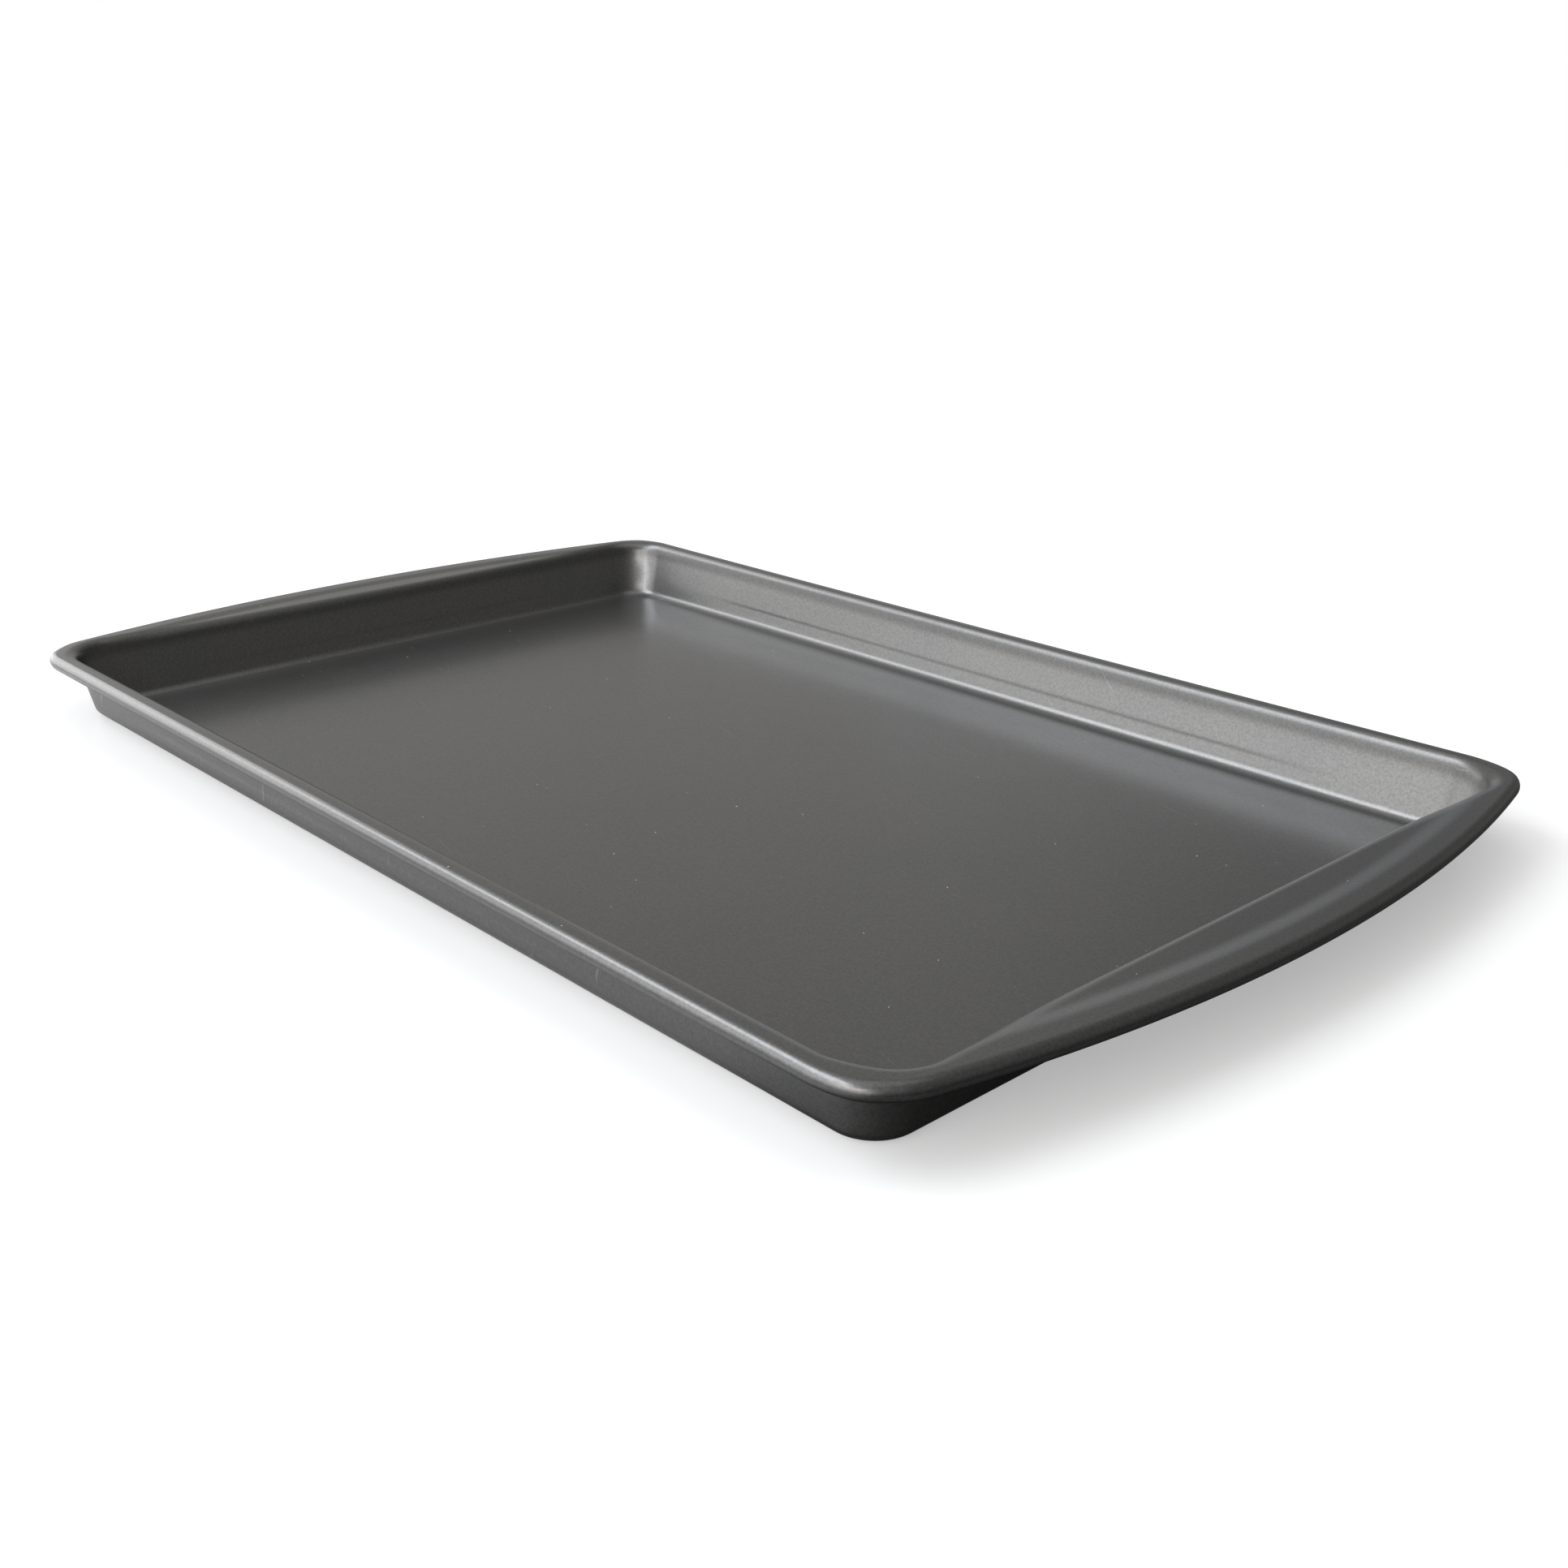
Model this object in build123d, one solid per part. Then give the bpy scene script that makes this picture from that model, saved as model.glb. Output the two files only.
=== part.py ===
from build123d import *
import os
from math import atan2, cos, degrees, radians, sin, sqrt

# Jelly roll pan: one drawn steel sheet whose rim is curled around a wire hoop.
# Millimetres, +Z up, +X along the length. The origin is the centre of the underside.

# The sheet
sheet = 0.65
height = 23.2

# The opening, measured between the inner faces of the walls at rim height
opening_length = 432.0
opening_width = 277.6
opening_corner_radius = 17.0

# The foot. Each wall leans in by this much from the rim down to the table
end_lean = 7.2
side_lean = 5.55
foot_corner_radius = 12.5
foot_bend_radius = 4.0

# The crease low on the walls, where the band below stands proud outside
crease_height = 6.9
crease_rise = 0.7
crease_step = 0.25

# The bend from the walls to the rim, on the underside of the sheet
rim_bend_radius = 1.95

# The curled bead and the wire inside it
wire_diameter = 2.7
wire_clearance = 0.15
curl_end_angle = 160.0

# The rim line, on which the middle of the bead lies
rim_side_reach = 4.55
rim_corner_reach = 0.8
handle_reach = 20.05
rim_corner_radius = 18.5

# The sunk field of each crescent handle
field_depth = 0.8
field_edge_reach = 6.3
field_slope_width = 3.5
field_margin = 4.0

# Cuts run past the faces that they pass through by this much
overrun = 5.0

RESTS_ON_XY = (Align.CENTER, Align.CENTER, Align.MIN)
HANGS_FROM_XY = (Align.CENTER, Align.CENTER, Align.MAX)

bead_radius = wire_diameter / 2 + wire_clearance + sheet
bead_height = height - bead_radius


def wall_outline(level, inset):
    """The rounded rectangle of the walls' outer faces at a level, drawn in by an inset."""
    drop = 1 - level / height
    proud = crease_step if level <= crease_height else 0
    grow = sheet + proud - inset
    length = opening_length + 2 * (grow - end_lean * drop)
    width = opening_width + 2 * (grow - side_lean * drop)
    radius = opening_corner_radius + grow + (foot_corner_radius - opening_corner_radius - sheet) * drop
    outline = RectangleRounded(length, width, radius)
    return Pos(0, 0, level) * outline


def wall_body(bottom, top, inset):
    """A solid between two levels, inside the walls' outer faces drawn in by an inset."""
    levels = [bottom, crease_height, crease_height + crease_rise, top]
    sections = [wall_outline(level, inset) for level in levels]
    return loft(sections, ruled=True)


# The rim line: straight sides, a long arc over each end and a tangent arc at each corner
rim_half_width = opening_width / 2 + rim_side_reach
rim_half_length = opening_length / 2 + handle_reach
end_rise = handle_reach - rim_corner_reach
end_radius = (rim_half_width**2 + end_rise**2) / (2 * end_rise)
end_centre_x = rim_half_length - end_radius
corner_centre_y = rim_half_width - rim_corner_radius
corner_centre_x = end_centre_x + sqrt((end_radius - rim_corner_radius) ** 2 - corner_centre_y**2)
end_half_angle = degrees(atan2(corner_centre_y, corner_centre_x - end_centre_x))


def rim_point(angle, centre_x, centre_y, radius):
    """A point at an angle in degrees on an arc about a centre."""
    return (centre_x + radius * cos(radians(angle)), centre_y + radius * sin(radians(angle)))


def rim_face():
    """The area inside the rim line, at z = 0."""
    middle_angle = (end_half_angle + 90) / 2
    tip = (rim_half_length, 0)
    join = rim_point(end_half_angle, corner_centre_x, corner_centre_y, rim_corner_radius)
    corner = rim_point(middle_angle, corner_centre_x, corner_centre_y, rim_corner_radius)
    side = (corner_centre_x, rim_half_width)

    def at(point, x_sign, y_sign):
        return (x_sign * point[0], y_sign * point[1])

    edges = Curve()
    for x_sign in (1, -1):
        edges += ThreePointArc(at(join, x_sign, -1), at(tip, x_sign, 1), at(join, x_sign, 1))
        for y_sign in (1, -1):
            ends = [at(point, x_sign, y_sign) for point in (join, corner, side)]
            edges += ThreePointArc(*ends)
    for y_sign in (1, -1):
        edges += Line(at(side, -1, y_sign), at(side, 1, y_sign))
    return make_face(edges)


def section_plane(x, y, angle):
    """A plane across the rim line: its x points outward at an angle, its y points up."""
    outward = (cos(radians(angle)), sin(radians(angle)), 0)
    along = (sin(radians(angle)), -cos(radians(angle)), 0)
    return Plane(origin=(x, y, bead_height), x_dir=outward, z_dir=along)


def run_along_rim(section):
    """The solid that a section makes when it follows the whole rim line."""
    tip_half = revolve(
        section_plane(*rim_point(-end_half_angle, end_centre_x, 0, end_radius), -end_half_angle) * section,
        Axis((end_centre_x, 0, 0), (0, 0, 1)),
        2 * end_half_angle,
    )
    corner_start = rim_point(end_half_angle, corner_centre_x, corner_centre_y, rim_corner_radius)
    corner = revolve(
        section_plane(*corner_start, end_half_angle) * section,
        Axis((corner_centre_x, corner_centre_y, 0), (0, 0, 1)),
        90 - end_half_angle,
    )
    side = extrude(
        section_plane(corner_centre_x, rim_half_width, 90) * section,
        -2 * corner_centre_x,
    )
    quarter = [tip_half, corner, mirror(corner, Plane.XZ)]
    half = quarter + [mirror(piece, Plane.YZ) for piece in quarter]
    whole = half + [side, mirror(side, Plane.XZ)]
    solid = whole[0]
    for piece in whole[1:]:
        solid += piece
    return solid


def curl_section():
    """The sheet's curl: from the top of the rim outward, under the wire and up again."""
    ring = Circle(bead_radius) - Circle(bead_radius - sheet)
    reach = 2 * bead_radius
    stop = rim_point(curl_end_angle, 0, 0, reach)
    wedge = make_face(Polyline((0, 0), (0, reach), (-reach, reach), stop, (0, 0)))
    return ring - wedge


def dished_block(floor_level, rim_level, inset, foot_bend, rim_bend):
    """A solid inside the walls that opens into a slab over the rim, with both bends rounded."""
    walls = wall_body(floor_level, height + overrun, inset)
    slab_height = height + overrun - rim_level
    slab_size = 2 * (rim_half_length + overrun)
    slab = Pos(0, 0, rim_level) * Box(slab_size, slab_size, slab_height, align=RESTS_ON_XY)
    block = walls + slab
    block = fillet(block.faces().sort_by(Axis.Z)[0].edges(), foot_bend)
    underside = block.faces().filter_by(Plane.XY).sort_by(lambda face: abs(face.center().Z - rim_level))[0]
    return fillet(underside.inner_wires()[0].edges(), rim_bend)


def field_zone(top):
    """The space of one sunk handle field, which narrows downward from its edge at a level."""
    slope = field_slope_width / field_depth
    depth = field_depth + rim_bend_radius + sheet
    upper_radius = end_radius - field_edge_reach
    cone = Cone(upper_radius - slope * depth, upper_radius, depth, align=HANGS_FROM_XY)
    inner_x = opening_length / 2 - field_margin
    half_span = sqrt(upper_radius**2 - (opening_length / 2 - end_centre_x) ** 2)
    length = rim_half_length - inner_x
    box = Box(length, 2 * half_span, depth, align=(Align.MIN, Align.CENTER, Align.MAX))
    return (Pos(end_centre_x, 0, top) * cone) & (Pos(inner_x, 0, top) * box)


def pan_shell():
    """Floor, walls, rim, handles and curl in one piece of sheet."""
    under_bends = (0, foot_bend_radius, rim_bend_radius)
    upper_bends = (sheet, foot_bend_radius - sheet, rim_bend_radius + sheet)

    def surface_block(floor_level, rim_level, bends):
        return dished_block(floor_level, rim_level, *bends)

    outside = surface_block(0, height - sheet, under_bends)
    inside = surface_block(sheet, height, upper_bends)
    field_outside = surface_block(0, height - sheet - field_depth, under_bends) & field_zone(height - sheet)
    field_inside = surface_block(sheet, height - field_depth, upper_bends) & field_zone(height)
    whole = extrude(rim_face(), height)
    shell = (outside & whole) + field_outside + mirror(field_outside, Plane.YZ)
    shell = shell - inside - field_inside - mirror(field_inside, Plane.YZ)
    return shell + run_along_rim(curl_section())


def rim_wire():
    """The hoop of round wire inside the curl."""
    return run_along_rim(Circle(wire_diameter / 2))


os.makedirs("parts", exist_ok=True)
shell = pan_shell()
wire = rim_wire()
print("pan_shell solids", len(shell.solids()), "volume", shell.volume)
print("rim_wire solids", len(wire.solids()), "volume", wire.volume)
export_step(shell, "parts/pan_shell.step")
export_step(wire, "parts/rim_wire.step")
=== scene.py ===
from math import atan2, cos, degrees, hypot, pi, radians, sin, sqrt, tan

import bmesh
import bpy
from mathutils import Matrix, Vector


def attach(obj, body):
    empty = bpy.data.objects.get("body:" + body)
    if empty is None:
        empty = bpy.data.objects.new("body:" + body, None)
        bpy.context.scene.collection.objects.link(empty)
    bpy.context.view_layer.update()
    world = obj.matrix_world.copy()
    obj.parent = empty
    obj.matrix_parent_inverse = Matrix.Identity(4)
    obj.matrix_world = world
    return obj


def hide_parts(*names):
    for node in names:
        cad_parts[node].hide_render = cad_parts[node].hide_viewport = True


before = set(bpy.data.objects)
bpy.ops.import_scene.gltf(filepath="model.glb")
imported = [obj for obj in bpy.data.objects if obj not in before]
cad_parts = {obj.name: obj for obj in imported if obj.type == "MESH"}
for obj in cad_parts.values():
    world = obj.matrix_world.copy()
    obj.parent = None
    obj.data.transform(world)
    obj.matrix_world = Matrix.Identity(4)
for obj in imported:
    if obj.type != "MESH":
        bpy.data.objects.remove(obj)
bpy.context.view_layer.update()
scene = bpy.context.scene

MM = 0.001

# Sizes of the pan. The bead, the top bend and the field's slope are fuller than in the plain solids
SHEET = 0.65 * MM
HEIGHT = 23.2 * MM
OPENING_LENGTH = 432.0 * MM
OPENING_WIDTH = 275.8 * MM
OPENING_CORNER = 17.0 * MM
END_LEAN = 7.2 * MM
SIDE_LEAN = 4.65 * MM
FOOT_CORNER = 12.5 * MM
FOOT_BEND = 4.0 * MM
RIM_BEND = 3.8 * MM
WIRE_DIAMETER = 3.6 * MM
WIRE_CLEARANCE = 0.15 * MM
CURL_END_ANGLE = 160
RIM_SIDE_REACH = 4.99 * MM
RIM_CORNER_REACH = 0.35 * MM
HANDLE_REACH = 19.53 * MM
RIM_CORNER = 18.5 * MM

# The sunk field of each handle: its depth, how far its edge lies inside the rim line, the width of
# its slope, and the soft steps down the wall and in from the opening's end where it fades
FIELD_DEPTH = 0.8 * MM
FIELD_EDGE = 4.3 * MM
FIELD_SLOPE = 5.2 * MM
FIELD_FADE_LEVELS = (14 * MM, 2 * MM)
FIELD_FADE_INSETS = (12 * MM, 5 * MM)

# The crease low on the walls
CREASE_LOW = 6.4 * MM
CREASE_RISE = 2.3 * MM
CREASE_STEP = 0.33 * MM
CREASE_HALF_LENGTH = 150 * MM
CREASE_HALF_WIDTH = 85 * MM
CREASE_FADE = 30 * MM
CREASE_START = 4.5 * MM

# How far the rim has settled at the middle of each side, as shares of the sag scale
SAG_SCALE = 1.0 * MM
FAR_SAG_SHARE = 0.45
RIGHT_SAG_SHARE = 0.35
LEFT_SAG_SHARE = 0.7

# How far single edges move to meet the photograph, where a symmetric pan doesn't
INNER_SHIFT = 1.0 * MM
INNER_SHIFT_MARGIN = 1 * MM
RIGHT_SHIFT = 3.2 * MM
RIGHT_SHIFT_REACH = (3 * MM, 14 * MM)
FOOT_SHIFT = 2.2 * MM

BEAD = WIRE_DIAMETER / 2 + WIRE_CLEARANCE + SHEET
BEAD_HEIGHT = HEIGHT - BEAD
RIM_HALF_WIDTH = OPENING_WIDTH / 2 + RIM_SIDE_REACH
RIM_HALF_LENGTH = OPENING_LENGTH / 2 + HANDLE_REACH
END_RISE = HANDLE_REACH - RIM_CORNER_REACH
END_RADIUS = (RIM_HALF_WIDTH ** 2 + END_RISE ** 2) / (2 * END_RISE)
END_CENTRE = RIM_HALF_LENGTH - END_RADIUS
RIM_CORNER_Y = RIM_HALF_WIDTH - RIM_CORNER
RIM_CORNER_X = END_CENTRE + sqrt((END_RADIUS - RIM_CORNER) ** 2 - RIM_CORNER_Y ** 2)
END_HALF_ANGLE = atan2(RIM_CORNER_Y, RIM_CORNER_X - END_CENTRE)

# The coating
COAT_WARM = (0.139, 0.137, 0.134, 1)
COAT_COOL = (0.131, 0.131, 0.131, 1)
COAT_ROUGHNESS = 0.4
COAT_SHEEN_ROUGHNESS = 0.2
COAT_GRAIN = 0.55 * MM
COAT_GRAIN_HEIGHT = 0.015 * MM
COAT_IOR = 1.5
RUBBED_METAL = (0.42, 0.42, 0.42, 1)
DUST_COLOUR = (0.75, 0.74, 0.72, 1)

# Dust fades out above the floor between two levels, and in toward the rim between two depths below it
FLOOR_DUST_LEVELS = (2 * MM, 4 * MM)
RIM_DUST_DEPTHS = (1.5 * MM, 1 * MM)

# Painted shade: a darker band in the top bend, and a darker underside of the bead
TOP_BEND_START = (15.5 * MM, 19 * MM)
TOP_BEND_END = (20.8 * MM, 22.2 * MM)
TOP_BEND_SHADE = 0.3
UNDERSIDE_LEVELS = (16 * MM, 17.5 * MM)
UNDERSIDE_SHADE = 0.6

# The studio. The floor glows for the camera, and less for the metal, and ambient occlusion paints a shadow
# into that glow. WINDOW_SIDE is where, along the window's bearing in metres, the floor that the metal sees
# turns from painted shade to light. STUDIO_TONES are the tones around the pan that the metal sees, from away
# from the window to right at it
FLOOR_GLOW = 0.55
FLOOR_FAR_GLOW = 0.95
FLOOR_MIRRORED = 0.36
FLOOR_NEAR = 0.6
FLOOR_FAR = 3.0
AROUND_LEVEL = 0.35
WINDOW_BEARING = 222
WINDOW_ELEVATION = 30
WINDOW_SIDE = (-0.06, -0.01)
PAINTED_CONTACT_REACH = 55 * MM
PAINTED_SHADOW_REACH = 120 * MM
PAINTED_SHADOW_DEPTH = 0.3
STUDIO_TONES = ((0.0, 0.2), (0.22, 0.13), (0.38, 0.19), (0.5, 0.38), (0.68, 0.39), (0.9, 1.0))
PANEL_DISTANCE = 2.4

# How finely each stretch is divided
END_STEPS = 44
CORNER_STEPS = 22
SIDE_STEPS = 26
LAND_ROWS = 28
RIM_BEND_STEPS = 8
FOOT_BEND_STEPS = 7
CURL_CORNERS = 36
WIRE_CORNERS = 24
WELD = 0.002 * MM


# Modelling by hand: selecting, extruding, welding
def open_piece(name):
    """Names the primitive that was just added and opens it for editing."""
    piece = bpy.context.object
    piece.name = name
    piece.data.name = name
    bpy.ops.object.mode_set(mode="EDIT")
    bpy.ops.mesh.select_mode(type="VERT")
    return piece


def clear_selection():
    if bpy.context.mode != "OBJECT":
        bpy.ops.object.mode_set(mode="OBJECT")
    bpy.ops.object.select_all(action="DESELECT")


def pick(test):
    """Selects the vertices whose place passes a test."""
    data = bpy.context.edit_object.data
    mesh = bmesh.from_edit_mesh(data)
    bpy.ops.mesh.select_all(action="DESELECT")
    for vertex in mesh.verts:
        vertex.select = bool(test(vertex.co))
    mesh.select_flush_mode()
    bmesh.update_edit_mesh(data)


def near(a, b, reach=0.01 * MM):
    return abs(a - b) < reach


def extrude_to(step):
    bpy.ops.mesh.extrude_region_move(TRANSFORM_OT_translate={"value": step})


def extrude_to_middle(axis, steps):
    """Extrudes the selected section in equal steps until it lies on the middle plane across an axis."""
    for step in range(steps):
        share = (steps - 1 - step) / (steps - step)
        factors = [1, 1, 1]
        factors[axis] = share
        extrude_to((0, 0, 0))
        bpy.ops.transform.resize(value=factors, center_override=(0, 0, 0))


def round_corner(tangent, steps):
    """Rounds the selected corner of a section from one tangent point to the other."""
    bpy.ops.mesh.bevel(affect="VERTICES", offset=tangent, segments=steps, profile=0.5, clamp_overlap=False)


def weld():
    bpy.ops.mesh.select_all(action="SELECT")
    bpy.ops.mesh.remove_doubles(threshold=WELD)


def apply_modifier(piece, kind, **settings):
    modifier = piece.modifiers.new(kind.title(), kind)
    for key, value in settings.items():
        setattr(modifier, key, value)
    bpy.context.view_layer.objects.active = piece
    bpy.ops.object.modifier_apply(modifier=modifier.name)


def mirror_quarters(piece):
    """Makes the whole from its quarter, welded on both middle planes."""
    clear_selection()
    piece.select_set(True)
    apply_modifier(
        piece, "MIRROR", use_axis=(True, True, False), use_clip=False,
        use_mirror_merge=True, merge_threshold=WELD,
    )


def face_outwards(piece):
    """Turns every face to the same side, with the floor or the top facing up."""
    bpy.context.view_layer.objects.active = piece
    bpy.ops.object.mode_set(mode="EDIT")
    weld()
    bpy.ops.mesh.normals_make_consistent(inside=False)
    bpy.ops.object.mode_set(mode="OBJECT")


# The tray: one section, spun round the corner and drawn out along end and side
def wall_radius(level):
    """The radius of the opening's corner at a level, on the inner face."""
    return OPENING_CORNER + (FOOT_CORNER - OPENING_CORNER - SHEET) * (1 - level / HEIGHT)


CORNER_LEAN = OPENING_CORNER + SHEET - FOOT_CORNER
CORNER_X = OPENING_LENGTH / 2 - OPENING_CORNER
CORNER_Y = OPENING_WIDTH / 2 - OPENING_CORNER
CORNER_TILT = atan2(CORNER_LEAN, HEIGHT)
UPPER_FOOT_TANGENT = (FOOT_BEND - SHEET) * tan((pi / 2 - CORNER_TILT) / 2)
UPPER_RIM_TANGENT = (RIM_BEND + SHEET) * tan((pi / 2 - CORNER_TILT) / 2)
HOLD = 0.3 * MM
WALL_LEVELS = [18.4, 16.4, 14.0, 11.5, 9.4, 8.5, 8.1, 7.75, 7.4, 7.05, 6.7, 6.35, 6.0, 5.2]


def tray_quarter():
    """Floor, walls and the bend at the top, for the quarter of the pan between +X and +Y."""
    rim_start = OPENING_CORNER + UPPER_RIM_TANGENT + HOLD
    foot = wall_radius(SHEET)
    floor_start = foot - UPPER_FOOT_TANGENT - HOLD
    section = [(rim_start, HEIGHT), (OPENING_CORNER, HEIGHT)]
    section += [(wall_radius(level * MM), level * MM) for level in WALL_LEVELS]
    section += [(foot, SHEET), (floor_start, SHEET), (0, SHEET)]
    clear_selection()
    bpy.ops.mesh.primitive_plane_add(size=MM, location=(0, 0, 0))
    piece = open_piece("pan_sheet")
    bpy.ops.mesh.merge(type="CENTER")
    bpy.ops.transform.translate(value=(CORNER_X, CORNER_Y + rim_start, HEIGHT))
    for (u0, z0), (u1, z1) in zip(section, section[1:]):
        extrude_to((0, u1 - u0, z1 - z0))
    pick(lambda co: near(co.y, CORNER_Y + OPENING_CORNER) and near(co.z, HEIGHT))
    round_corner(UPPER_RIM_TANGENT, RIM_BEND_STEPS)
    pick(lambda co: near(co.y, CORNER_Y + foot) and near(co.z, SHEET))
    round_corner(UPPER_FOOT_TANGENT, FOOT_BEND_STEPS)
    levels = sorted({round(vertex.co.z, 7) for vertex in bmesh.from_edit_mesh(piece.data).verts})
    bpy.ops.mesh.select_all(action="SELECT")
    bpy.ops.mesh.spin(steps=CORNER_STEPS, angle=pi / 2, center=(CORNER_X, CORNER_Y, 0), axis=(0, 0, 1))
    for level in levels:
        drop = 1 - level / HEIGHT
        pick(lambda co: near(co.z, level, 0.0005 * MM))
        bpy.ops.transform.translate(
            value=((CORNER_LEAN - END_LEAN) * drop, (CORNER_LEAN - SIDE_LEAN) * drop, 0)
        )
    floor_x = CORNER_X + (CORNER_LEAN - END_LEAN) * (1 - SHEET / HEIGHT)
    floor_y = CORNER_Y + (CORNER_LEAN - SIDE_LEAN) * (1 - SHEET / HEIGHT)

    def across_end(co):
        return near(co.y, CORNER_Y + (CORNER_LEAN - SIDE_LEAN) * (1 - co.z / HEIGHT))

    def across_side(co):
        return near(co.x, CORNER_X + (CORNER_LEAN - END_LEAN) * (1 - co.z / HEIGHT))

    pick(lambda co: across_end(co) and co.x > floor_x - WELD)
    extrude_to_middle(1, END_STEPS)
    pick(lambda co: across_side(co) and co.y > floor_y - WELD)
    extrude_to_middle(0, SIDE_STEPS)
    weld()
    pick(lambda co: near(co.y, floor_y) and co.x < floor_x + WELD and near(co.z, SHEET))
    extrude_to_middle(1, END_STEPS)
    weld()
    return piece


def rim_run(name, section):
    """Spins a section along the rim line of one quarter, from the long side to the middle of the end."""
    clear_selection()
    bpy.ops.mesh.primitive_circle_add(
        vertices=section["corners"], radius=section["radius"], fill_type="NOTHING",
        location=(RIM_CORNER_X, RIM_HALF_WIDTH, BEAD_HEIGHT), rotation=(pi / 2, 0, pi / 2),
    )
    bpy.ops.object.transform_apply(location=True, rotation=True, scale=True)
    piece = open_piece(name)
    if section["gap"]:
        low, high = section["gap"]

        def in_gap(co):
            angle = degrees(atan2(co.z - BEAD_HEIGHT, co.y - RIM_HALF_WIDTH)) % 360
            return low + 1 < angle < high - 1

        pick(in_gap)
        bpy.ops.mesh.delete(type="VERT")
    bpy.ops.mesh.select_all(action="SELECT")
    bpy.ops.mesh.spin(
        steps=CORNER_STEPS, angle=pi / 2 - END_HALF_ANGLE,
        center=(RIM_CORNER_X, RIM_CORNER_Y, 0), axis=(0, 0, 1),
    )
    bpy.ops.mesh.spin(
        steps=END_STEPS, angle=END_HALF_ANGLE,
        center=(END_CENTRE, 0, 0), axis=(0, 0, 1),
    )
    pick(lambda co: near(co.x, RIM_CORNER_X) and co.y > RIM_CORNER_Y)
    extrude_to_middle(0, SIDE_STEPS)
    weld()
    return piece


def field_weight(co):
    """How far down the sunk field of the handle takes a point, from 0 to 1."""
    beyond_opening = max(abs(co.x), OPENING_LENGTH / 2)
    offset = END_RADIUS - hypot(beyond_opening - END_CENTRE, co.y)
    edge = smooth_step(offset, FIELD_EDGE, FIELD_EDGE + FIELD_SLOPE)
    low, high = [HEIGHT - drop for drop in FIELD_FADE_LEVELS]
    start, stop = [OPENING_LENGTH / 2 - inset for inset in FIELD_FADE_INSETS]
    return edge * smooth_step(co.z, low, high) * smooth_step(abs(co.x), start, stop)


def smooth_step(value, start, stop):
    """0 before start, 1 after stop, with a soft rise between them."""
    share = min(max((value - start) / (stop - start), 0), 1)
    return share * share * (3 - 2 * share)


def crease_weight(co):
    """How far out the band below the crease stands, from 0 to 1. It fades before each corner."""
    band = 1 - smooth_step(co.z, CREASE_LOW, CREASE_LOW + CREASE_RISE)
    foot = smooth_step(co.z, SHEET, CREASE_START)
    on_side = abs(co.y) > CORNER_Y
    along, half = (co.x, CREASE_HALF_LENGTH) if on_side else (co.y, CREASE_HALF_WIDTH)
    fade = 1 - smooth_step(abs(along), half - CREASE_FADE, half + CREASE_FADE)
    return band * foot * fade


def lift_share(co):
    """How high a point lies between the floor and the rim, from 0 to 1."""
    return max(0, co.z - SHEET) / (HEIGHT - SHEET)


def sag_weight(co):
    """How far the rim has settled at a point, as a share of the sag scale."""
    along_side = max(0, 1 - (co.x / RIM_HALF_LENGTH) ** 2)
    along_end = max(0, 1 - (co.y / RIM_HALF_WIDTH) ** 2)
    to_side = smooth_step(abs(co.y), 0.6 * CORNER_Y, RIM_HALF_WIDTH)
    to_end = smooth_step(abs(co.x), 0.8 * CORNER_X, OPENING_LENGTH / 2)
    side = (FAR_SAG_SHARE if co.y > 0 else 0) * along_side * to_side
    end = (RIGHT_SAG_SHARE if co.x > 0 else LEFT_SAG_SHARE) * along_end * to_end
    return min(1, (side + end) * lift_share(co))


def shift_weight(co):
    """How far the walls' upper edge lies toward the far side at a point, as a share of the shift."""
    inside_bead = 1 - smooth_step(abs(co.y), OPENING_WIDTH / 2 - INNER_SHIFT_MARGIN, RIM_HALF_WIDTH)
    return inside_bead * smooth_step(abs(co.y), 0, CORNER_Y) * lift_share(co)


def right_edge_weight(co):
    """How far the right handle's inner edge lies toward the middle, as a share of the right shift."""
    offset = END_RADIUS - hypot(co.x - END_CENTRE, co.y)
    beyond_floor = smooth_step(co.x, 0.8 * CORNER_X, CORNER_X)
    return beyond_floor * smooth_step(offset, *RIGHT_SHIFT_REACH) * lift_share(co)


def far_foot_weight(co):
    """How far the far wall's foot lies toward the middle at a point, as a share of the foot shift."""
    return smooth_step(co.y, 0, CORNER_Y) * (1 - smooth_step(co.z, 0, HEIGHT - RIM_BEND - SHEET))


def left_foot_weight(co):
    """How far the left wall's foot lies toward the middle at a point, as a share of the foot shift."""
    return smooth_step(-co.x, 0, CORNER_X) * (1 - smooth_step(co.z, 0, HEIGHT - RIM_BEND - SHEET))


def move_by_weight(piece, name, weight, strength, direction):
    """Moves the vertices one way by a painted weight, and keeps the result in the mesh."""
    group = piece.vertex_groups.new(name=name)
    for vertex in piece.data.vertices:
        share = weight(vertex.co)
        if share > 0:
            group.add([vertex.index], share, "REPLACE")
    apply_modifier(piece, "DISPLACE", direction=direction, strength=strength, mid_level=0, vertex_group=name)
    piece.vertex_groups.remove(piece.vertex_groups[name])


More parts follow.
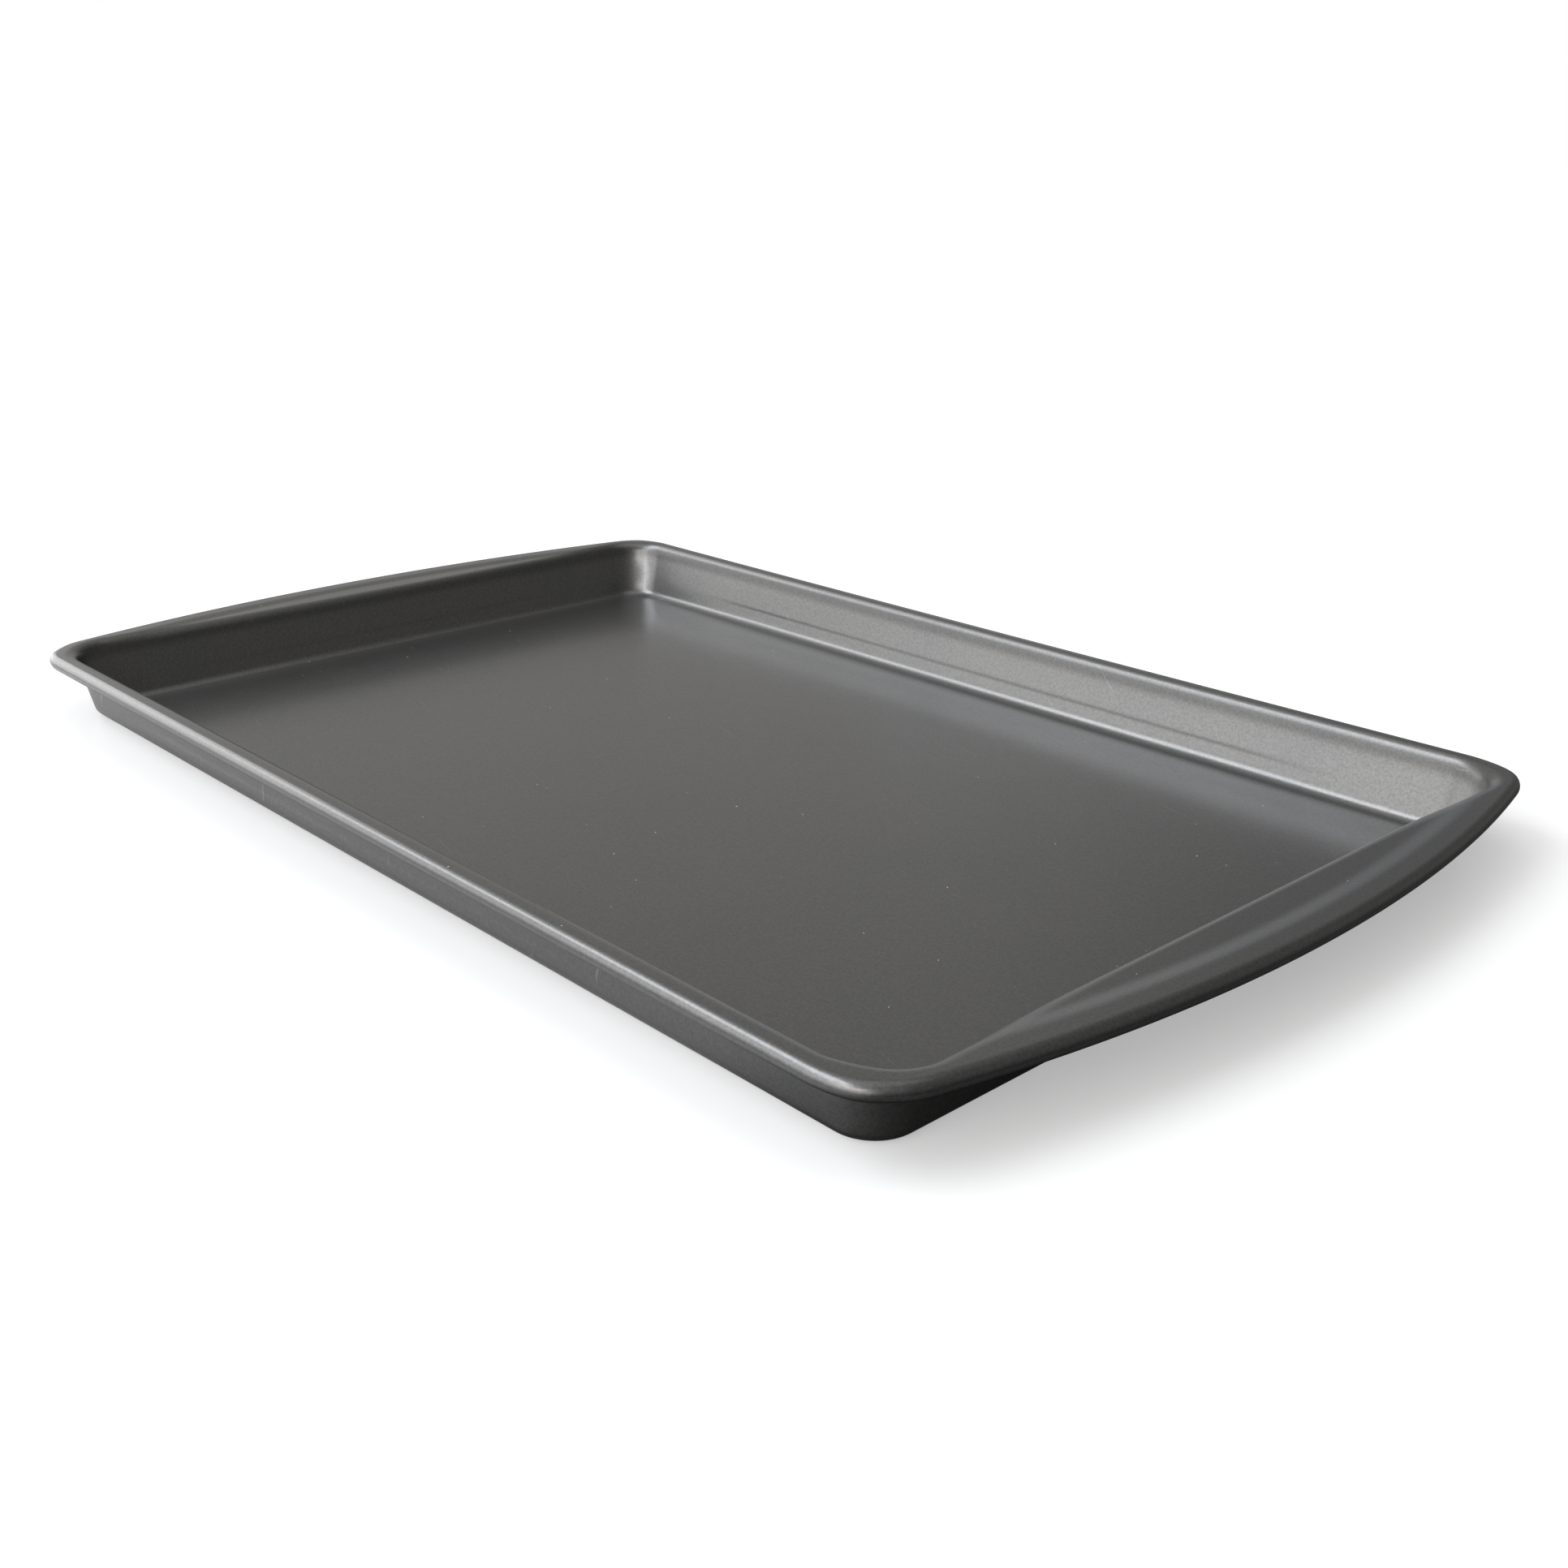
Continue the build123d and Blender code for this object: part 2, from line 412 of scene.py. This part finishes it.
def make_sheet():
    """The whole pan sheet: tray, land, curl and handle fields, given its thickness."""
    tray = tray_quarter()
    bpy.ops.object.mode_set(mode="OBJECT")
    curl = rim_run("rim_curl", {"corners": CURL_CORNERS, "radius": BEAD, "gap": (90, CURL_END_ANGLE)})
    bpy.ops.object.mode_set(mode="OBJECT")
    bpy.ops.object.select_all(action="DESELECT")
    curl.select_set(True)
    tray.select_set(True)
    bpy.context.view_layer.objects.active = tray
    bpy.ops.object.join()
    piece = bpy.context.object
    bpy.ops.object.mode_set(mode="EDIT")
    data = piece.data
    mesh = bmesh.from_edit_mesh(data)
    bpy.ops.mesh.select_all(action="DESELECT")
    for edge in mesh.edges:
        ends = [vertex.co for vertex in edge.verts]
        level = all(near(co.z, HEIGHT, 0.005 * MM) for co in ends)
        inner_side = all(co.x > WELD or co.y > WELD for co in ends)
        middle = all(co.x < WELD for co in ends) or all(co.y < WELD for co in ends)
        if edge.is_boundary and level and inner_side and not middle:
            edge.select = True
    bmesh.update_edit_mesh(data)
    bpy.ops.mesh.select_mode(type="EDGE")
    bpy.ops.mesh.bridge_edge_loops(number_cuts=LAND_ROWS, interpolation="LINEAR")
    bpy.ops.mesh.select_mode(type="VERT")
    bpy.ops.object.mode_set(mode="OBJECT")
    mirror_quarters(piece)
    face_outwards(piece)
    move_by_weight(piece, "field", field_weight, -FIELD_DEPTH, "Z")
    move_by_weight(piece, "crease", crease_weight, -CREASE_STEP, "NORMAL")
    move_by_weight(piece, "shift", shift_weight, INNER_SHIFT, "Y")
    move_by_weight(piece, "right_edge", right_edge_weight, -RIGHT_SHIFT, "X")
    move_by_weight(piece, "far_foot", far_foot_weight, -FOOT_SHIFT, "Y")
    move_by_weight(piece, "left_foot", left_foot_weight, FOOT_SHIFT, "X")
    move_by_weight(piece, "sag", sag_weight, -SAG_SCALE, "Z")
    apply_modifier(piece, "SOLIDIFY", thickness=SHEET, offset=-1, use_even_offset=True, use_rim=True)
    bpy.ops.object.shade_smooth_by_angle(angle=radians(40))
    piece.name = "pan_sheet"
    return piece


def make_wire():
    """The hoop of round wire inside the curl."""
    piece = rim_run("rim_hoop", {"corners": WIRE_CORNERS, "radius": WIRE_DIAMETER / 2, "gap": None})
    bpy.ops.object.mode_set(mode="OBJECT")
    mirror_quarters(piece)
    face_outwards(piece)
    move_by_weight(piece, "sag", sag_weight, -SAG_SCALE, "Z")
    bpy.ops.object.shade_smooth_by_angle(angle=radians(60))
    return piece


# Finishes
def node(tree, kind, links=None, **settings):
    """Adds a node. Links are socket names with what feeds them: another socket or a plain value."""
    made = tree.nodes.new(kind)
    for key, value in settings.items():
        setattr(made, key, value)
    for key, value in (links or {}).items():
        if isinstance(value, bpy.types.NodeSocket):
            tree.links.new(value, made.inputs[key])
        else:
            made.inputs[key].default_value = value
    return made


def math_node(tree, operation, *values, clamp=False):
    made = tree.nodes.new("ShaderNodeMath")
    made.operation = operation
    made.use_clamp = clamp
    for index, value in enumerate(values):
        if isinstance(value, bpy.types.NodeSocket):
            tree.links.new(value, made.inputs[index])
        else:
            made.inputs[index].default_value = value
    return made.outputs[0]


def vector_node(tree, operation, links):
    made = node(tree, "ShaderNodeVectorMath", links, operation=operation)
    return made.outputs["Value" if operation in ("LENGTH", "DOT_PRODUCT") else "Vector"]


def height_of(tree, vector):
    """The part of a place or a direction that points up."""
    return node(tree, "ShaderNodeSeparateXYZ", {"Vector": vector}).outputs["Z"]


def upward_normal(tree):
    return height_of(tree, node(tree, "ShaderNodeNewGeometry").outputs["Normal"])


def ramp_between(tree, value, low, high, to_low=0.0, to_high=1.0):
    """A soft rise from one level to another while a value goes from low to high."""
    made = node(tree, "ShaderNodeMapRange", interpolation_type="SMOOTHSTEP")
    tree.links.new(value, made.inputs["Value"])
    for key, number in zip(("From Min", "From Max", "To Min", "To Max"), (low, high, to_low, to_high)):
        made.inputs[key].default_value = number
    return made.outputs["Result"]


def blend(tree, factor, first, second):
    """A colour between two colours."""
    made = node(tree, "ShaderNodeMix", data_type="RGBA")
    for index, value in ((0, factor), (6, first), (7, second)):
        if isinstance(value, bpy.types.NodeSocket):
            tree.links.new(value, made.inputs[index])
        else:
            made.inputs[index].default_value = value
    return made.outputs[2]


def new_group(name, inputs, outputs):
    """An empty shader group with named sockets, and its two end nodes."""
    tree = bpy.data.node_groups.new(name, "ShaderNodeTree")
    for label, kind, value in inputs:
        socket = tree.interface.new_socket(label, in_out="INPUT", socket_type=kind)
        if value is not None:
            socket.default_value = value
    for label, kind in outputs:
        tree.interface.new_socket(label, in_out="OUTPUT", socket_type=kind)
    return tree, tree.nodes.new("NodeGroupInput"), tree.nodes.new("NodeGroupOutput")


def place_group(tree, group, **links):
    made = tree.nodes.new("ShaderNodeGroup")
    made.node_tree = group
    for key, value in links.items():
        if isinstance(value, bpy.types.NodeSocket):
            tree.links.new(value, made.inputs[key])
        else:
            made.inputs[key].default_value = value
    return made


def grain_group():
    """Fine grain of a sprayed or drawn surface: a height and a tone, both about 0.5."""
    tree, start, end = new_group(
        "fine_grain",
        [("Vector", "NodeSocketVector", None), ("Size", "NodeSocketFloat", 0.7 * MM)],
        [("Height", "NodeSocketFloat"), ("Tone", "NodeSocketFloat")],
    )
    scale = math_node(tree, "DIVIDE", 1.0, start.outputs["Size"])
    fine = node(tree, "ShaderNodeTexNoise", {
        "Vector": start.outputs["Vector"], "Scale": scale, "Detail": 3.0, "Roughness": 0.6,
    })
    cells = node(tree, "ShaderNodeTexNoise", {
        "Vector": start.outputs["Vector"], "Scale": math_node(tree, "MULTIPLY", scale, 0.6), "Detail": 1.0,
    })
    tree.links.new(fine.outputs["Fac"], end.inputs["Height"])
    both = math_node(tree, "ADD", fine.outputs["Fac"], cells.outputs["Fac"])
    tree.links.new(math_node(tree, "MULTIPLY", both, 0.5), end.inputs["Tone"])
    return tree


def drift_group():
    """Slow change of tone across a surface, such as handling and washing leave."""
    tree, start, end = new_group(
        "slow_drift",
        [("Vector", "NodeSocketVector", None), ("Size", "NodeSocketFloat", 60 * MM)],
        [("Value", "NodeSocketFloat")],
    )
    scale = math_node(tree, "DIVIDE", 1.0, start.outputs["Size"])
    cloud = node(tree, "ShaderNodeTexNoise", {
        "Vector": start.outputs["Vector"], "Scale": scale,
        "Detail": 3.0, "Roughness": 0.55, "Distortion": 0.6,
    })
    tree.links.new(ramp_between(tree, cloud.outputs["Fac"], 0.3, 0.7), end.inputs["Value"])
    return tree


def scratch_group():
    """Faint straight hairlines in one direction, as a mask."""
    tree, start, end = new_group(
        "hairlines",
        [
            ("Vector", "NodeSocketVector", None), ("Angle", "NodeSocketFloat", 0.0),
            ("Share", "NodeSocketFloat", 0.1),
        ],
        [("Mask", "NodeSocketFloat")],
    )
    turned = node(tree, "ShaderNodeVectorRotate", {
        "Vector": start.outputs["Vector"], "Angle": start.outputs["Angle"],
    }, rotation_type="Z_AXIS")
    drawn = node(tree, "ShaderNodeMapping", {"Vector": turned.outputs[0], "Scale": (22.0, 1500.0, 60.0)})
    lines = node(tree, "ShaderNodeTexNoise", {"Vector": drawn.outputs[0], "Scale": 1.0, "Detail": 1.0})
    limit = math_node(tree, "SUBTRACT", 0.82, start.outputs["Share"])
    above = math_node(tree, "SUBTRACT", lines.outputs["Fac"], limit)
    mask = math_node(tree, "DIVIDE", above, 0.05, clamp=True)
    tree.links.new(mask, end.inputs["Mask"])
    return tree


def speck_group():
    """Stray dust: a mask of small round or drawn-out specks, a few of the cells of a pattern."""
    tree, start, end = new_group(
        "stray_dust",
        [
            ("Vector", "NodeSocketVector", None), ("Spacing", "NodeSocketFloat", 8 * MM),
            ("Radius", "NodeSocketFloat", 0.25 * MM), ("Angle", "NodeSocketFloat", 0.0),
            ("Length", "NodeSocketFloat", 1.0), ("Bend", "NodeSocketFloat", 0.0),
        ],
        [("Mask", "NodeSocketFloat")],
    )
    vector = start.outputs["Vector"]
    wander = node(tree, "ShaderNodeTexNoise", {"Vector": vector, "Scale": 110.0, "Detail": 0.0})
    offset = vector_node(tree, "SUBTRACT", {0: wander.outputs["Color"], 1: (0.5, 0.5, 0.5)})
    bent = vector_node(tree, "SCALE", {0: offset, "Scale": start.outputs["Bend"]})
    turned = node(tree, "ShaderNodeVectorRotate", {
        "Vector": vector_node(tree, "ADD", {0: vector, 1: bent}), "Angle": start.outputs["Angle"],
    }, rotation_type="Z_AXIS")
    shrink = node(tree, "ShaderNodeCombineXYZ", {
        "X": math_node(tree, "DIVIDE", 1.0, start.outputs["Length"]), "Y": 1.0, "Z": 0.35,
    })
    drawn = vector_node(tree, "MULTIPLY", {0: turned.outputs[0], 1: shrink.outputs[0]})
    scale = math_node(tree, "DIVIDE", 1.0, start.outputs["Spacing"])
    cells = node(tree, "ShaderNodeTexVoronoi", {"Vector": drawn, "Scale": scale, "Randomness": 1.0})
    share = node(tree, "ShaderNodeSeparateColor", {"Color": cells.outputs["Color"]})
    few_large = math_node(tree, "POWER", share.outputs["Red"], 3.0)
    size = math_node(tree, "MULTIPLY", start.outputs["Radius"], few_large)
    reach = math_node(tree, "DIVIDE", size, start.outputs["Spacing"])
    within = math_node(tree, "SUBTRACT", reach, cells.outputs["Distance"])
    edge = math_node(tree, "DIVIDE", within, reach, clamp=True)
    mask = math_node(tree, "MULTIPLY", edge, 2.0, clamp=True)
    tree.links.new(mask, end.inputs["Mask"])
    return tree


GRAIN = grain_group()
DRIFT = drift_group()
HAIRLINES = scratch_group()
DUST = speck_group()


def painted_bend_shade(tree, place):
    """1 on open surfaces, and lower where shade is painted: inside the top bend and on the underside of the
    bead.
    """
    level = height_of(tree, place)
    upward = upward_normal(tree)
    rising = ramp_between(tree, level, *TOP_BEND_START)
    falling = ramp_between(tree, level, *TOP_BEND_END, 1.0, 0.0)
    inside = ramp_between(tree, upward, -0.05, 0.05)
    top_bend = math_node(tree, "MULTIPLY", math_node(tree, "MULTIPLY", rising, falling), inside)
    near_bead = ramp_between(tree, level, *UNDERSIDE_LEVELS)
    facing_down = ramp_between(tree, upward, -0.65, -0.4, UNDERSIDE_SHADE, 0.0)
    underside = math_node(tree, "MULTIPLY", near_bead, facing_down)
    return math_node(
        tree, "SUBTRACT", math_node(tree, "MULTIPLY_ADD", top_bend, -TOP_BEND_SHADE, 1.0), underside,
    )


def settled_specks(tree, place):
    """Dust and lint, only where they can settle: on the floor and on the rim."""
    dust = place_group(tree, DUST, Vector=place, Spacing=5 * MM, Radius=0.36 * MM).outputs["Mask"]
    lint = place_group(
        tree, DUST, Vector=place, Spacing=11 * MM, Radius=0.22 * MM, Angle=0.7, Length=7.0, Bend=3 * MM,
    ).outputs["Mask"]
    lint_across = place_group(
        tree, DUST, Vector=place, Spacing=12 * MM, Radius=0.22 * MM, Angle=-0.9, Length=6.0, Bend=3 * MM,
    ).outputs["Mask"]
    threads = math_node(tree, "MAXIMUM", lint, lint_across)
    specks = math_node(tree, "MAXIMUM", dust, math_node(tree, "MULTIPLY", threads, 0.7))
    level = height_of(tree, place)
    on_floor = ramp_between(tree, level, *FLOOR_DUST_LEVELS, 1.0, 0.0)
    on_rim = ramp_between(tree, level, *[HEIGHT - depth for depth in RIM_DUST_DEPTHS])
    settled = math_node(tree, "MAXIMUM", on_floor, on_rim)
    facing_up = ramp_between(tree, upward_normal(tree), 0.3, 0.8)
    return math_node(tree, "MULTIPLY", specks, math_node(tree, "MULTIPLY", settled, facing_up))


def nonstick_finish():
    """The dark baked coating: faintly metallic, with a fine grain, a few hairlines and stray dust, and
    painted shade in the top bend and under the bead.
    """
    material = bpy.data.materials.new("baked_nonstick_coating")
    material.use_nodes = True
    tree = material.node_tree
    shader = tree.nodes["Principled BSDF"]
    place = node(tree, "ShaderNodeTexCoord").outputs["Object"]
    grain = place_group(tree, GRAIN, Vector=place, Size=COAT_GRAIN)
    drift = place_group(tree, DRIFT, Vector=place, Size=70 * MM).outputs["Value"]
    cloud = place_group(tree, DRIFT, Vector=place, Size=16 * MM).outputs["Value"]
    along = place_group(tree, HAIRLINES, Vector=place, Angle=0.25, Share=0.06).outputs["Mask"]
    across = place_group(tree, HAIRLINES, Vector=place, Angle=-1.1, Share=0.03).outputs["Mask"]
    hairlines = math_node(tree, "MAXIMUM", along, across)
    specks = settled_specks(tree, place)

    tint = blend(tree, drift, COAT_WARM, COAT_COOL)
    tone = ramp_between(tree, grain.outputs["Tone"], 0.35, 0.65, 0.87, 1.13)
    # Painted shade: darkens the coating's colour in the top bend and on the underside of the bead
    shade = painted_bend_shade(tree, place)
    toned = vector_node(tree, "SCALE", {0: tint, "Scale": math_node(tree, "MULTIPLY", tone, shade)})
    rubbed = blend(tree, math_node(tree, "MULTIPLY", hairlines, 0.35), toned, RUBBED_METAL)
    tree.links.new(blend(tree, specks, rubbed, DUST_COLOUR), shader.inputs["Base Color"])

    roughness = math_node(tree, "MULTIPLY_ADD", drift, 0.02, COAT_ROUGHNESS)
    roughness = math_node(tree, "MULTIPLY_ADD", cloud, 0.02, roughness)
    roughness = math_node(tree, "MULTIPLY_ADD", specks, 0.6, roughness)
    tree.links.new(roughness, shader.inputs["Roughness"])
    tree.links.new(math_node(tree, "MULTIPLY_ADD", specks, -0.9, 0.92), shader.inputs["Metallic"])
    clean = math_node(tree, "SUBTRACT", 1.0, specks)
    # The painted shade also thins the coat's sheen in the top bend and under the bead
    tree.links.new(math_node(tree, "MULTIPLY", shade, clean), shader.inputs["Coat Weight"])
    shader.inputs["Coat Roughness"].default_value = COAT_SHEEN_ROUGHNESS
    shader.inputs["Coat IOR"].default_value = COAT_IOR

    height = math_node(tree, "MULTIPLY_ADD", hairlines, -0.1, grain.outputs["Height"])
    height = math_node(tree, "MULTIPLY_ADD", specks, 0.3, height)
    bump = node(tree, "ShaderNodeBump", {
        "Height": height, "Strength": 1.0, "Distance": COAT_GRAIN_HEIGHT,
    })
    tree.links.new(bump.outputs["Normal"], shader.inputs["Normal"])
    return material


def wire_finish():
    """Bright drawn steel wire."""
    material = bpy.data.materials.new("drawn_steel_wire")
    material.use_nodes = True
    tree = material.node_tree
    shader = tree.nodes["Principled BSDF"]
    place = node(tree, "ShaderNodeTexCoord").outputs["Object"]
    grain = place_group(tree, GRAIN, Vector=place, Size=0.4 * MM)
    drift = place_group(tree, DRIFT, Vector=place, Size=25 * MM).outputs["Value"]
    hairlines = place_group(tree, HAIRLINES, Vector=place, Angle=0.1, Share=0.2).outputs["Mask"]
    tint = blend(tree, drift, (0.42, 0.41, 0.40, 1), (0.52, 0.52, 0.53, 1))
    tree.links.new(
        blend(tree, math_node(tree, "MULTIPLY", hairlines, 0.4), tint, (0.3, 0.29, 0.28, 1)),
        shader.inputs["Base Color"],
    )
    shader.inputs["Metallic"].default_value = 1
    roughness = math_node(tree, "MULTIPLY_ADD", grain.outputs["Tone"], 0.2, 0.25)
    tree.links.new(roughness, shader.inputs["Roughness"])
    bump = node(tree, "ShaderNodeBump", {
        "Height": grain.outputs["Height"], "Strength": 1.0, "Distance": 0.004 * MM,
    })
    tree.links.new(bump.outputs["Normal"], shader.inputs["Normal"])
    return material


# The pieces
sheet = make_sheet()
hoop = make_wire()
for piece, cad_node, slot, finish in (
    (sheet, "pan_shell", "nonstick_steel", nonstick_finish()),
    (hoop, "rim_wire", "wire_steel", wire_finish()),
):
    piece.data.materials.clear()
    piece.data.materials.append(finish)
    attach(piece, "root")
    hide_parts(cad_node)


# Floor, background and light
def toward_window(tree, vector):
    """How far a place or a direction lies on the window's side."""
    bearing = radians(WINDOW_BEARING)
    return vector_node(tree, "DOT_PRODUCT", {0: vector, 1: (cos(bearing), sin(bearing), 0)})


def shown_rays(tree):
    """1 for the rays that show the background: those of the camera, and those in metal and glass."""
    path = node(tree, "ShaderNodeLightPath")
    shown = math_node(tree, "MAXIMUM", path.outputs["Is Camera Ray"], path.outputs["Is Glossy Ray"])
    return math_node(tree, "MAXIMUM", shown, path.outputs["Is Transmission Ray"])


def floor_finish():
    """A pale floor that takes the pan's real shadow from the lamps and a painted shadow in its glow, and
    looks white where it is plainly lit.
    """
    material = bpy.data.materials.new("pale_floor")
    material.use_nodes = True
    tree = material.node_tree
    tree.nodes.clear()
    place = node(tree, "ShaderNodeTexCoord").outputs["Object"]
    drift = place_group(tree, DRIFT, Vector=place, Size=0.5).outputs["Value"]
    distance = vector_node(tree, "LENGTH", {0: place})
    bearing, rise = radians(WINDOW_BEARING), radians(WINDOW_ELEVATION)
    to_window = (cos(rise) * cos(bearing), cos(rise) * sin(bearing), sin(rise))
    # Painted shadow: ambient occlusion near the pan, and toward the window, darkens the floor's glow
    close = node(tree, "ShaderNodeAmbientOcclusion", {"Distance": PAINTED_CONTACT_REACH}, samples=8).outputs["AO"]
    lit = node(
        tree, "ShaderNodeAmbientOcclusion", {"Distance": PAINTED_SHADOW_REACH, "Normal": to_window}, samples=8,
    ).outputs["AO"]
    painted_open_sky = math_node(tree, "MULTIPLY", close, ramp_between(tree, lit, 0.5, 0.9, 0.1, 1.0))

    # What the camera sees, and the lower glow that the metal sees, both darkened by the painted shadow
    open_glow = ramp_between(tree, distance, FLOOR_NEAR, FLOOR_FAR, FLOOR_GLOW, FLOOR_FAR_GLOW)
    shaded = math_node(tree, "MULTIPLY_ADD", painted_open_sky, PAINTED_SHADOW_DEPTH, 1 - PAINTED_SHADOW_DEPTH)
    seen = math_node(tree, "MULTIPLY", open_glow, shaded)
    # Painted shade: the glow that the metal sees fades out on the side away from the window
    window_share = toward_window(tree, place)
    window_side = ramp_between(tree, window_share, *WINDOW_SIDE, 0.05, 1.0)
    mirrored = ramp_between(tree, distance, FLOOR_NEAR, FLOOR_FAR, FLOOR_MIRRORED, 2 * FLOOR_MIRRORED)
    shown_sky = ramp_between(tree, painted_open_sky, 0.45, 0.95, 0.2, 1.0)
    mirrored = math_node(tree, "MULTIPLY", mirrored, math_node(tree, "MULTIPLY", window_side, shown_sky))
    path = node(tree, "ShaderNodeLightPath")
    strength = node(tree, "ShaderNodeMix", {
        "Factor": path.outputs["Is Camera Ray"], "A": mirrored, "B": seen,
    }).outputs["Result"]
    glow = node(tree, "ShaderNodeEmission", {"Strength": strength})
    # Painted shade: the floor's colour is darker for the metal on the side away from the window
    painted_dimming = ramp_between(tree, window_share, *WINDOW_SIDE, 0.92, 0.5)
    painted_dimming = math_node(tree, "MULTIPLY", path.outputs["Is Glossy Ray"], painted_dimming)
    pale = blend(tree, drift, (0.60, 0.60, 0.60, 1), (0.62, 0.62, 0.62, 1))
    pale = vector_node(tree, "SCALE", {0: pale, "Scale": math_node(tree, "SUBTRACT", 1.0, painted_dimming)})
    plain = node(tree, "ShaderNodeBsdfPrincipled", {
        "Base Color": pale, "Roughness": 0.3, "Specular IOR Level": 0.4,
    })
    both = node(tree, "ShaderNodeAddShader", {0: plain.outputs[0], 1: glow.outputs[0]})
    mix = node(tree, "ShaderNodeMixShader", {0: shown_rays(tree), 1: plain.outputs[0], 2: both.outputs[0]})
    node(tree, "ShaderNodeOutputMaterial", {"Surface": mix.outputs[0]})
    return material


clear_selection()
bpy.ops.mesh.primitive_plane_add(size=20, location=(0, 0, 0))
floor = bpy.context.object
floor.name = "floor"
floor.data.materials.append(floor_finish())


def studio_world():
    """White to the camera. Metal sees that white on the window's side, and it fades away from there."""
    world = bpy.data.worlds.new("studio")
    world.use_nodes = True
    tree = world.node_tree
    tree.nodes.clear()
    direction = node(tree, "ShaderNodeTexCoord").outputs["Generated"]
    share = math_node(tree, "MULTIPLY_ADD", toward_window(tree, direction), 0.5, 0.5)
    ramp = node(tree, "ShaderNodeValToRGB", {"Fac": share})
    ramp.color_ramp.interpolation = "EASE"
    ramp.color_ramp.elements.remove(ramp.color_ramp.elements[1])
    for index, (place, level) in enumerate(STUDIO_TONES):
        stop = ramp.color_ramp.elements[0] if index == 0 else ramp.color_ramp.elements.new(place)
        stop.position = place
        warmth = min(1, 2 * (1 - place))
        stop.color = (level, level * (1 - 0.02 * warmth), level * (1 - 0.055 * warmth), 1)
    camera_ray = node(tree, "ShaderNodeLightPath").outputs["Is Camera Ray"]
    backdrop = node(tree, "ShaderNodeBackground", {
        "Color": blend(tree, camera_ray, ramp.outputs["Color"], (1, 1, 1, 1)), "Strength": 1.0,
    })
    around = node(tree, "ShaderNodeBackground", {"Color": (1, 1, 1, 1), "Strength": AROUND_LEVEL})
    mix = node(tree, "ShaderNodeMixShader", {
        0: shown_rays(tree), 1: around.outputs[0], 2: backdrop.outputs[0],
    })
    node(tree, "ShaderNodeOutputWorld", {"Surface": mix.outputs[0]})
    return world


scene.world = studio_world()


def soft_light(name, place, target, width, height, radiance, colour):
    """A soft rectangular lamp whose surface has the given radiance."""
    bpy.ops.object.light_add(type="AREA", location=place)
    light = bpy.context.object
    light.name = name
    light.data.shape = "RECTANGLE"
    light.data.size = width
    light.data.size_y = height
    light.data.energy = radiance * pi * width * height
    light.data.color = colour
    light.rotation_euler = (Vector(target) - Vector(place)).to_track_quat("-Z", "Y").to_euler()


def panel(name, bearing, low, high, width, radiance, colour=(1, 1, 1)):
    """An upright soft panel that faces the pan, from a bearing in degrees, between two heights."""
    middle = (low + high) / 2
    place = (PANEL_DISTANCE * cos(radians(bearing)), PANEL_DISTANCE * sin(radians(bearing)), middle)
    soft_light(name, place, (0, 0, middle), width, high - low, radiance, colour)


panel("window_low_left", 198, 0.0, 0.55, 2.1, 1.3)
panel("window_low_right", 246, 0.0, 1.1, 2.0, 1.35)
panel("window_middle", 190, 0.55, 1.6, 1.9, 1.35)
panel("window_high", 234, 1.6, 4.4, 3.4, 3.5, (0.96, 1.0, 1.05))
panel("window_top", 236, 2.5, 4.4, 2.4, 2.0, (0.96, 1.0, 1.05))
panel("side_low", 290, 0.05, 0.85, 2.2, 2.3, (1.0, 0.98, 0.96))
panel("side_high", 286, 0.85, 2.0, 2.0, 3.9, (1.0, 0.98, 0.96))
panel("far_card", 120, 0.15, 0.8, 1.1, 0.12, (0.8, 1.0, 1.2))
soft_light("overhead", (0, 0, 2.8), (0, 0, 0), 2.4, 2.4, 0.4, (1, 1, 1))

# Camera, fitted to the photograph's rim, foot and corners
bpy.ops.object.camera_add(location=(0.43113, -0.36645, 0.20671))
camera = bpy.context.object
camera.name = "camera"
aim = (Vector((0.02888, 0.00735, 0)) - camera.location).to_track_quat("-Z", "Y")
camera.rotation_euler = (aim.to_matrix() @ Matrix.Rotation(radians(0.267), 3, "Z")).to_euler()
camera.data.lens = 39.909
camera.data.sensor_width = 36
camera.data.clip_start = 0.01
scene.camera = camera
scene.view_settings.view_transform = "Standard"
